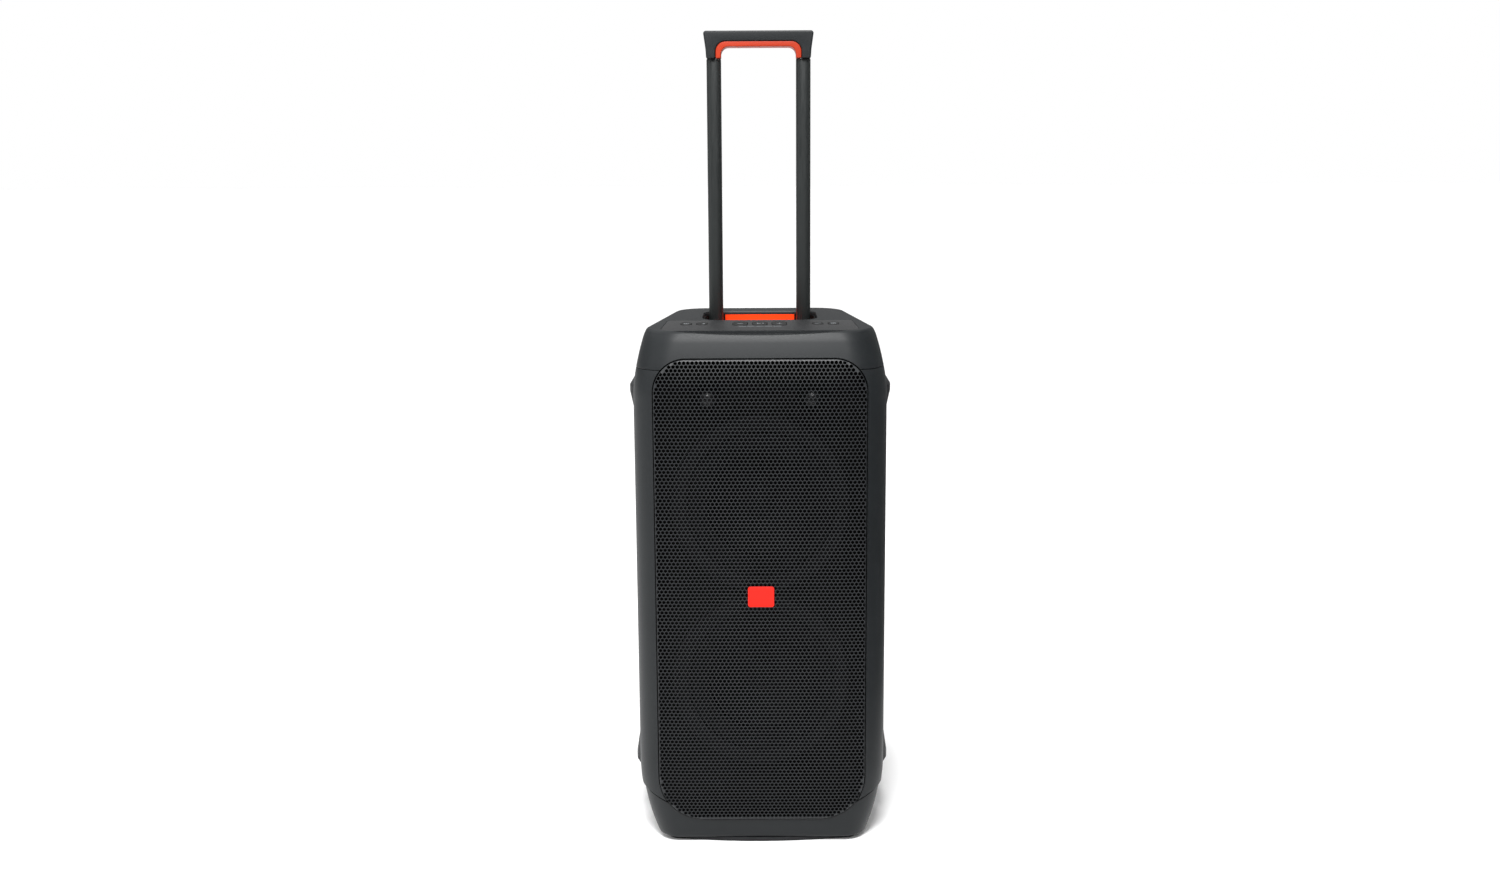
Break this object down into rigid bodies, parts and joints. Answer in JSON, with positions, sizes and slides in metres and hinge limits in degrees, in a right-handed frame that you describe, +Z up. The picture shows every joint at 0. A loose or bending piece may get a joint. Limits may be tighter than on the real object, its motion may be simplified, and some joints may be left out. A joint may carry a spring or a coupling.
{
  "type": "party speaker",
  "caption": "Tall trolley party speaker with a perforated front grille, top control keys, pull-out handle, rear wheels and a covered rear socket bay.",
  "frame": {"origin": "on the floor under the middle of the whole speaker, handle pulled out", "axes": "+Z up along the height, -Y out of the front grille, +X to the right of someone facing the grille"},
  "size_m": [0.3346, 0.367, 1.04],
  "materials": {
    "casing": "fine-textured charcoal moulding",
    "panel": "darker satin plastic",
    "grille": "black powder-coated perforated steel",
    "liner": "orange satin plastic",
    "badge": "plain red-orange plate with no mark",
    "rubber": "matt black rubber",
    "tyre": "matt black rubber",
    "tube": "satin dark grey coated tube",
    "inner_plastic": "black moulding",
    "basket": "black coated pressed steel",
    "magnet": "dark ferrite and steel",
    "cone": "black coated paper",
    "dome": "glossy dark metallised film",
    "diffuser": "smoked translucent light guide, dark when unlit",
    "steel": "plated steel",
    "board": "green circuit board",
    "battery": "blue-grey battery sleeve"
  },
  "bodies": {
    "cabinet": {"cabinet_shell": "casing", "top_cap": "casing", "bottom_cap": "casing", "pocket_liner": "liner", "control_panel": "panel", "bumper_upper_left": "rubber", "bumper_upper_right": "rubber", "bumper_lower_left": "rubber", "bumper_lower_right": "rubber", "foot_front": "rubber", "foot_back": "rubber", "lower_woofer_surround": "rubber", "upper_woofer_surround": "rubber", "front_grille": "grille", "badge": "badge", "front_baffle": "inner_plastic", "left_tweeter_body": "inner_plastic", "right_tweeter_body": "inner_plastic", "guide_tube_left": "inner_plastic", "guide_tube_right": "inner_plastic", "socket_bay": "inner_plastic", "mains_inlet": "inner_plastic", "port_tube": "inner_plastic", "lower_woofer_basket": "basket", "upper_woofer_basket": "basket", "lower_woofer_magnet": "magnet", "upper_woofer_magnet": "magnet", "lower_light_ring": "diffuser", "upper_light_ring": "diffuser", "wheel_axle": "steel", "mic_jack": "steel", "guitar_jack": "steel", "amplifier_board": "board", "battery_pack": "battery"},
    "handle": {"handle_tube_left": "tube", "handle_tube_right": "tube", "grip_shell": "casing", "grip_liner": "liner"},
    "latch": {"latch_button": "panel"},
    "lower_cone": {"lower_woofer_cone": "cone", "lower_woofer_dust_cap": "cone"},
    "upper_cone": {"upper_woofer_cone": "cone", "upper_woofer_dust_cap": "cone"},
    "left_dome": {"left_tweeter_dome": "dome"},
    "right_dome": {"right_tweeter_dome": "dome"},
    "left_wheel": {"left_wheel_rim": "inner_plastic", "left_wheel_tyre": "tyre"},
    "right_wheel": {"right_wheel_rim": "inner_plastic", "right_wheel_tyre": "tyre"},
    "mic_gain": {"mic_gain_knob": "panel"},
    "guitar_gain": {"guitar_gain_knob": "panel"},
    "socket_cover": {"socket_cover": "rubber"},
    "mains_cover": {"mains_cover": "rubber"},
    "key_power": {"key_power": "rubber"},
    "key_pairing": {"key_pairing": "rubber"},
    "key_volume_down": {"key_volume_down": "rubber"},
    "key_play": {"key_play": "rubber"},
    "key_volume_up": {"key_volume_up": "rubber"},
    "key_bass": {"key_bass": "rubber"},
    "key_light": {"key_light": "rubber"}
  },
  "joints": [
    {"name": "handle_slide", "type": "slide", "parent": "cabinet", "child": "handle", "axis": [0, 0, 1], "range_m": [-0.353, 0]},
    {"name": "latch_press", "type": "slide", "parent": "handle", "child": "latch", "axis": [0, 0, 1], "range_m": [-0.003, 0]},
    {"name": "left_wheel_spin", "type": "hinge", "parent": "cabinet", "child": "left_wheel", "pos_m": [-0.133, 0.1285, 0.057], "axis": [1, 0, 0], "continuous": true},
    {"name": "right_wheel_spin", "type": "hinge", "parent": "cabinet", "child": "right_wheel", "pos_m": [0.133, 0.1285, 0.057], "axis": [1, 0, 0], "continuous": true},
    {"name": "lower_cone_travel", "type": "slide", "parent": "cabinet", "child": "lower_cone", "axis": [0, -1, 0], "range_m": [-0.004, 0.004]},
    {"name": "upper_cone_travel", "type": "slide", "parent": "cabinet", "child": "upper_cone", "axis": [0, -1, 0], "range_m": [-0.004, 0.004]},
    {"name": "left_dome_travel", "type": "slide", "parent": "cabinet", "child": "left_dome", "axis": [0, -1, 0], "range_m": [-0.0004, 0.0004]},
    {"name": "right_dome_travel", "type": "slide", "parent": "cabinet", "child": "right_dome", "axis": [0, -1, 0], "range_m": [-0.0004, 0.0004]},
    {"name": "mic_gain_turn", "type": "hinge", "parent": "cabinet", "child": "mic_gain", "pos_m": [-0.058, 0.11, 0.548], "axis": [0, 1, 0], "range_deg": [-140, 140]},
    {"name": "guitar_gain_turn", "type": "hinge", "parent": "cabinet", "child": "guitar_gain", "pos_m": [0.018, 0.11, 0.548], "axis": [0, 1, 0], "range_deg": [-140, 140]},
    {"name": "socket_cover_hinge", "type": "hinge", "parent": "cabinet", "child": "socket_cover", "pos_m": [0, 0.1342, 0.5023], "axis": [-1, 0, 0], "range_deg": [0, 95]},
    {"name": "mains_cover_hinge", "type": "hinge", "parent": "cabinet", "child": "mains_cover", "pos_m": [0, 0.1342, 0.1427], "axis": [1, 0, 0], "range_deg": [0, 95]},
    {"name": "key_power_press", "type": "slide", "parent": "cabinet", "child": "key_power", "axis": [0, -0.018, 0.9998], "range_m": [-0.0012, 0]},
    {"name": "key_pairing_press", "type": "slide", "parent": "cabinet", "child": "key_pairing", "axis": [0, -0.018, 0.9998], "range_m": [-0.0012, 0]},
    {"name": "key_volume_down_press", "type": "slide", "parent": "cabinet", "child": "key_volume_down", "axis": [0, -0.018, 0.9998], "range_m": [-0.0012, 0]},
    {"name": "key_play_press", "type": "slide", "parent": "cabinet", "child": "key_play", "axis": [0, -0.018, 0.9998], "range_m": [-0.0012, 0]},
    {"name": "key_volume_up_press", "type": "slide", "parent": "cabinet", "child": "key_volume_up", "axis": [0, -0.018, 0.9998], "range_m": [-0.0012, 0]},
    {"name": "key_bass_press", "type": "slide", "parent": "cabinet", "child": "key_bass", "axis": [0, -0.018, 0.9998], "range_m": [-0.0012, 0]},
    {"name": "key_light_press", "type": "slide", "parent": "cabinet", "child": "key_light", "axis": [0, -0.018, 0.9998], "range_m": [-0.0012, 0]}
  ]
}
